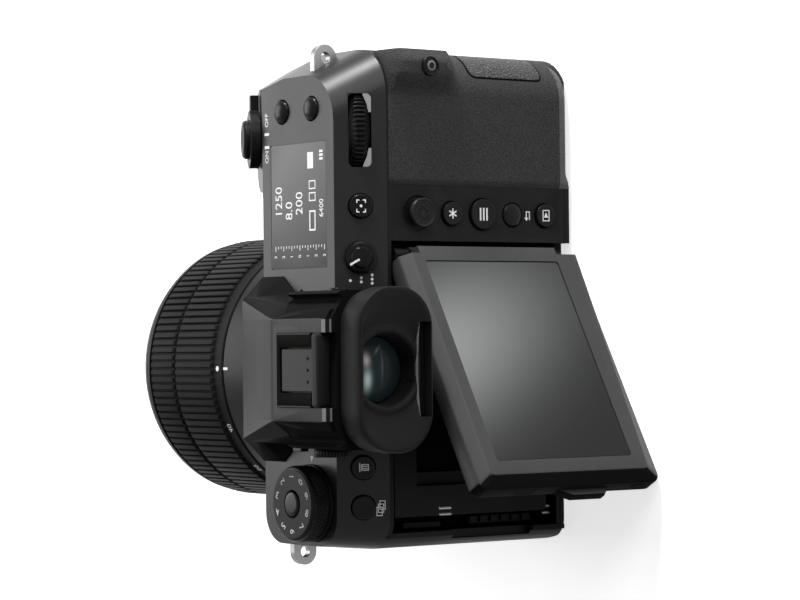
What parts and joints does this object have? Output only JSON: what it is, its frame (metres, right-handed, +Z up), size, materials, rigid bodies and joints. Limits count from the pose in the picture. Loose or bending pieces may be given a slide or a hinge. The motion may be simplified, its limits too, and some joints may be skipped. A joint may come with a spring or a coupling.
{
  "type": "medium format digital camera",
  "caption": "Mirrorless camera body with a deep grip, a rear screen swung open on its hinge, a humped viewfinder and a short zoom lens.",
  "frame": {"origin": "mouth of the tripod socket, on the plane of the base", "axes": "+X to the camera's left, away from the grip; +Y to the back, so the lens looks along -Y; +Z up"},
  "size_m": [0.1541, 0.1559, 0.103],
  "materials": {
    "paint": "matt black paint",
    "plastic": "matt black",
    "rubber": "grained black",
    "steel": "satin",
    "chrome": "polished",
    "glass": "coated",
    "gloss": "glossy black",
    "alloy": "cast",
    "board": "solder mask"
  },
  "bodies": {
    "camera": {"front_cover": "paint", "rear_cover": "paint", "top_cover": "paint", "viewfinder_hump": "paint", "base_plate": "paint", "grip_rubber": "rubber", "thumb_rubber": "rubber", "strap_lugs": "chrome", "lens_mount_ring": "steel", "tripod_socket": "steel", "chassis": "alloy", "shutter_unit": "plastic", "image_sensor": "board", "main_board": "board", "battery": "plastic", "card_socket": "steel", "viewfinder_block": "plastic", "eyepiece_lens": "glass", "eyecup": "rubber", "eye_sensor_window": "gloss", "hot_shoe": "steel", "sub_monitor_window": "gloss", "indicator_lamp": "gloss", "cover_screws": "steel", "lens_barrel": "paint", "rear_element": "glass"},
    "shutter_button": {"shutter_button": "plastic"},
    "power_lever": {"power_lever": "plastic"},
    "front_dial": {"front_dial": "plastic"},
    "rear_dial": {"rear_dial": "plastic"},
    "mode_dial": {"mode_dial": "plastic"},
    "mode_dial_lock": {"mode_dial_lock": "plastic"},
    "stills_movie_switch": {"stills_movie_switch": "plastic"},
    "diopter_wheel": {"diopter_wheel": "plastic"},
    "top_button_front": {"top_button_front": "plastic"},
    "top_button_rear": {"top_button_rear": "plastic"},
    "view_mode_button": {"view_mode_button": "plastic"},
    "af_on_button": {"af_on_button": "plastic"},
    "focus_mode_switch": {"focus_mode_switch": "plastic"},
    "focus_stick": {"focus_stick": "plastic"},
    "ael_button": {"ael_button": "plastic"},
    "menu_button": {"menu_button": "plastic"},
    "back_button": {"back_button": "plastic"},
    "playback_button": {"playback_button": "plastic"},
    "delete_button": {"delete_button": "plastic"},
    "drive_button": {"drive_button": "plastic"},
    "quick_menu_button": {"quick_menu_button": "gloss"},
    "lens_release_button": {"lens_release_button": "plastic"},
    "card_door": {"card_door": "plastic"},
    "battery_door": {"battery_door": "plastic"},
    "connector_cover": {"connector_cover": "plastic"},
    "hot_shoe_cover": {"hot_shoe_cover": "plastic"},
    "tilt_arm": {"tilt_arm": "steel"},
    "tilt_frame": {"tilt_frame": "steel"},
    "zoom_ring": {"zoom_ring": "rubber"},
    "focus_ring": {"focus_ring": "rubber"},
    "screen": {"screen_housing": "plastic", "screen_glass": "gloss"},
    "front_barrel": {"front_barrel": "plastic", "front_element": "glass"}
  },
  "joints": [
    {"name": "shutter_button_slide", "type": "slide", "parent": "camera", "child": "shutter_button", "axis": [0, 0.4695, -0.8829], "range_m": [0, 0.0012], "stiffness_N_per_m": 600},
    {"name": "power_lever_turn", "type": "hinge", "parent": "camera", "child": "power_lever", "pos_m": [-0.0695, -0.03003, 0.07841], "axis": [0, -0.4695, 0.8829], "range_deg": [0, 32]},
    {"name": "front_dial_turn", "type": "hinge", "parent": "camera", "child": "front_dial", "pos_m": [-0.0695, -0.03285, 0.07691], "axis": [0, -0.4695, 0.8829], "continuous": true},
    {"name": "rear_dial_turn", "type": "hinge", "parent": "camera", "child": "rear_dial", "pos_m": [-0.0693, 0.01086, 0.07185], "axis": [0, -0.4369, 0.8995], "continuous": true},
    {"name": "mode_dial_turn", "type": "hinge", "parent": "camera", "child": "mode_dial", "pos_m": [0.0392, 0.0034, 0.083], "axis": [0, 0, 1], "continuous": true},
    {"name": "mode_dial_lock_slide", "type": "slide", "parent": "mode_dial", "child": "mode_dial_lock", "axis": [0, 0, -1], "range_m": [0, 0.001], "stiffness_N_per_m": 600},
    {"name": "stills_movie_switch_slide", "type": "slide", "parent": "camera", "child": "stills_movie_switch", "axis": [0, 1, 0], "range_m": [0, 0.004]},
    {"name": "diopter_wheel_turn", "type": "hinge", "parent": "camera", "child": "diopter_wheel", "pos_m": [0.024, 0.0208, 0.0876], "axis": [1, 0, 0], "range_deg": [-120, 120]},
    {"name": "top_button_front_slide", "type": "slide", "parent": "camera", "child": "top_button_front", "axis": [0, 0, -1], "range_m": [0, 0.0005], "stiffness_N_per_m": 600},
    {"name": "top_button_rear_slide", "type": "slide", "parent": "camera", "child": "top_button_rear", "axis": [0, 0, -1], "range_m": [0, 0.0005], "stiffness_N_per_m": 600},
    {"name": "view_mode_button_slide", "type": "slide", "parent": "camera", "child": "view_mode_button", "axis": [1, 0, 0], "range_m": [0, 0.0005], "stiffness_N_per_m": 600},
    {"name": "af_on_button_slide", "type": "slide", "parent": "camera", "child": "af_on_button", "axis": [0, -0.8995, -0.4369], "range_m": [0, 0.0005], "stiffness_N_per_m": 600},
    {"name": "delete_button_slide", "type": "slide", "parent": "camera", "child": "delete_button", "axis": [0, -0.8995, -0.4369], "range_m": [0, 0.0005], "stiffness_N_per_m": 600},
    {"name": "drive_button_slide", "type": "slide", "parent": "camera", "child": "drive_button", "axis": [0, -0.8995, -0.4369], "range_m": [0, 0.0005], "stiffness_N_per_m": 600},
    {"name": "focus_mode_switch_turn", "type": "hinge", "parent": "camera", "child": "focus_mode_switch", "pos_m": [-0.0322, 0.0194, 0.076], "axis": [0, 0.8995, 0.4369], "range_deg": [0, 60]},
    {"name": "focus_stick_turn", "type": "hinge", "parent": "camera", "child": "focus_stick", "pos_m": [-0.0454, 0.0208, 0.0578], "axis": [1, 0, 0], "range_deg": [-8, 8], "stiffness_Nm_per_rad": 0.05},
    {"name": "ael_button_slide", "type": "slide", "parent": "camera", "child": "ael_button", "axis": [0, -1, 0], "range_m": [0, 0.0005], "stiffness_N_per_m": 600},
    {"name": "menu_button_slide", "type": "slide", "parent": "camera", "child": "menu_button", "axis": [0, -1, 0], "range_m": [0, 0.0005], "stiffness_N_per_m": 600},
    {"name": "back_button_slide", "type": "slide", "parent": "camera", "child": "back_button", "axis": [0, -1, 0], "range_m": [0, 0.0005], "stiffness_N_per_m": 600},
    {"name": "playback_button_slide", "type": "slide", "parent": "camera", "child": "playback_button", "axis": [0, -1, 0], "range_m": [0, 0.0005], "stiffness_N_per_m": 600},
    {"name": "quick_menu_button_slide", "type": "slide", "parent": "camera", "child": "quick_menu_button", "axis": [0, -1, 0], "range_m": [0, 0.0005], "stiffness_N_per_m": 600},
    {"name": "lens_release_button_slide", "type": "slide", "parent": "camera", "child": "lens_release_button", "axis": [0, 1, 0], "range_m": [0, 0.002], "stiffness_N_per_m": 600},
    {"name": "card_door_turn", "type": "hinge", "parent": "camera", "child": "card_door", "pos_m": [-0.0928, -0.0072, 0.028], "axis": [0, 0, 1], "range_deg": [0, 90]},
    {"name": "battery_door_turn", "type": "hinge", "parent": "camera", "child": "battery_door", "pos_m": [-0.074, 0.0036, 0.0015], "axis": [1, 0, 0], "range_deg": [0, 90]},
    {"name": "connector_cover_turn", "type": "hinge", "parent": "camera", "child": "connector_cover", "pos_m": [0.0516, -0.0062, 0.037], "axis": [0, 0, -1], "range_deg": [0, 90]},
    {"name": "hot_shoe_cover_slide", "type": "slide", "parent": "camera", "child": "hot_shoe_cover", "axis": [0, 1, 0], "range_m": [0, 0.026]},
    {"name": "tilt_arm_turn", "type": "hinge", "parent": "camera", "child": "tilt_arm", "pos_m": [0.005, 0.0137, 0.007], "axis": [-1, 0, 0], "range_deg": [0, 45]},
    {"name": "tilt_frame_turn", "type": "hinge", "parent": "tilt_arm", "child": "tilt_frame", "pos_m": [0.005, 0.0137, 0.0618], "axis": [1, 0, 0], "range_deg": [0, 90]},
    {"name": "screen_turn", "type": "hinge", "parent": "tilt_frame", "child": "screen", "pos_m": [-0.0332, 0.0215, 0.034], "axis": [0, 0, 1], "range_deg": [-30, 30]},
    {"name": "zoom_ring_turn", "type": "hinge", "parent": "camera", "child": "zoom_ring", "pos_m": [0, -0.06, 0.043], "axis": [0, -1, 0], "range_deg": [0, 90]},
    {"name": "front_barrel_slide", "type": "slide", "parent": "camera", "child": "front_barrel", "axis": [0, -1, 0], "range_m": [0, 0.022]},
    {"name": "focus_ring_turn", "type": "hinge", "parent": "camera", "child": "focus_ring", "pos_m": [0, -0.08, 0.043], "axis": [0, -1, 0], "continuous": true}
  ],
  "couplings": [
    {"joint": "tilt_frame_turn", "follows": "tilt_arm_turn", "ratio": 2},
    {"joint": "front_barrel_slide", "follows": "zoom_ring_turn", "m_per_rad": 0.014006}
  ]
}
